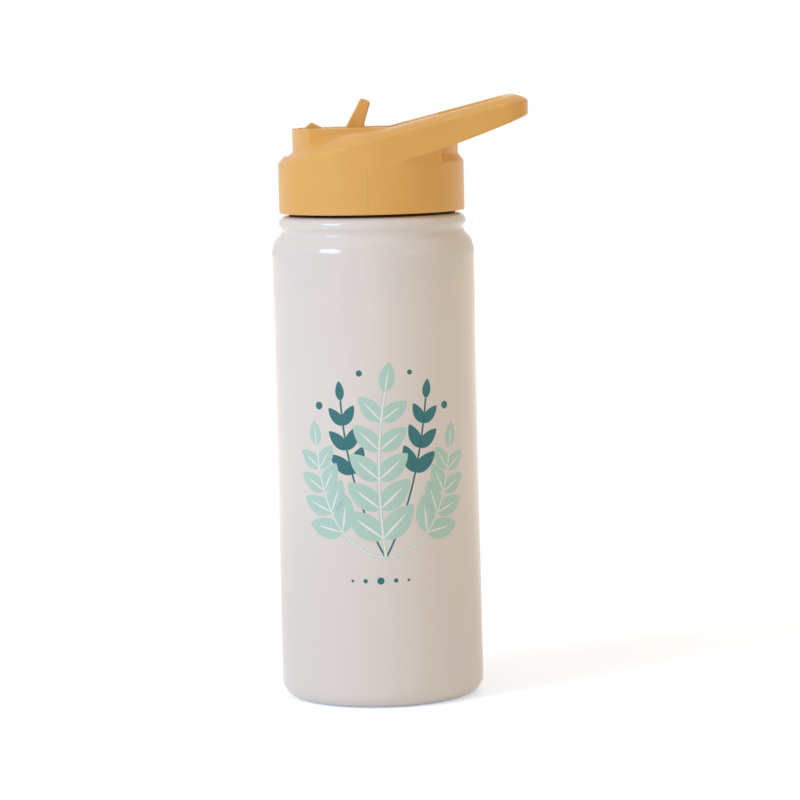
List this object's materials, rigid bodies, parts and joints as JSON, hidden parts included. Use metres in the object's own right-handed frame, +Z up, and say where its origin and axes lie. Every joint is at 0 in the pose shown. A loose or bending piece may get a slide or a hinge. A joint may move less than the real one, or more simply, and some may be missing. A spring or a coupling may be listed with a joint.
{
  "type": "water bottle",
  "caption": "Upright double-walled steel water bottle with a screw-on lid, flip-up drinking spout, internal straw and a sloping carry loop, for a child to drink from and carry.",
  "frame": {"origin": "centre of the flat base, on the bottle's axis, at the surface that the bottle stands on", "axes": "+Z up along the bottle's axis, +X towards the carry loop, so the closed spout's tip points to -X and the spout's pivot runs along Y"},
  "size_m": [0.0925, 0.073, 0.2152],
  "materials": {
    "painted_shell": "gloss",
    "steel": "satin",
    "seal_glass": "gloss",
    "getter_metal": "matte",
    "lid_plastic": "satin",
    "black_silicone": "matte",
    "clear_silicone": "satin",
    "straw_plastic": "gloss"
  },
  "bodies": {
    "bottle": {"outer_shell": "painted_shell", "inner_liner": "steel", "vacuum_base": "steel", "vacuum_seal_bead": "seal_glass", "base_cover": "steel", "getter": "getter_metal"},
    "gasket": {"lid_gasket": "black_silicone"},
    "lid": {"lid_shell": "lid_plastic", "inner_lid": "lid_plastic", "spout_seal": "clear_silicone", "straw": "straw_plastic", "vent_valve": "clear_silicone"},
    "spout": {"flip_spout": "lid_plastic"}
  },
  "joints": [
    {"name": "lid_rise", "type": "slide", "parent": "bottle", "child": "gasket", "axis": [0, 0, 1], "range_m": [0, 0.005]},
    {"name": "lid_turn", "type": "hinge", "parent": "gasket", "child": "lid", "pos_m": [0, 0, 0.1747], "axis": [0, 0, 1], "range_deg": [0, 450]},
    {"name": "spout_flip", "type": "hinge", "parent": "lid", "child": "spout", "pos_m": [0.007, 0, 0.1967], "axis": [0, 1, 0], "range_deg": [0, 84]}
  ],
  "couplings": [
    {"joint": "lid_rise", "follows": "lid_turn", "m_per_rad": 0.00063661}
  ]
}
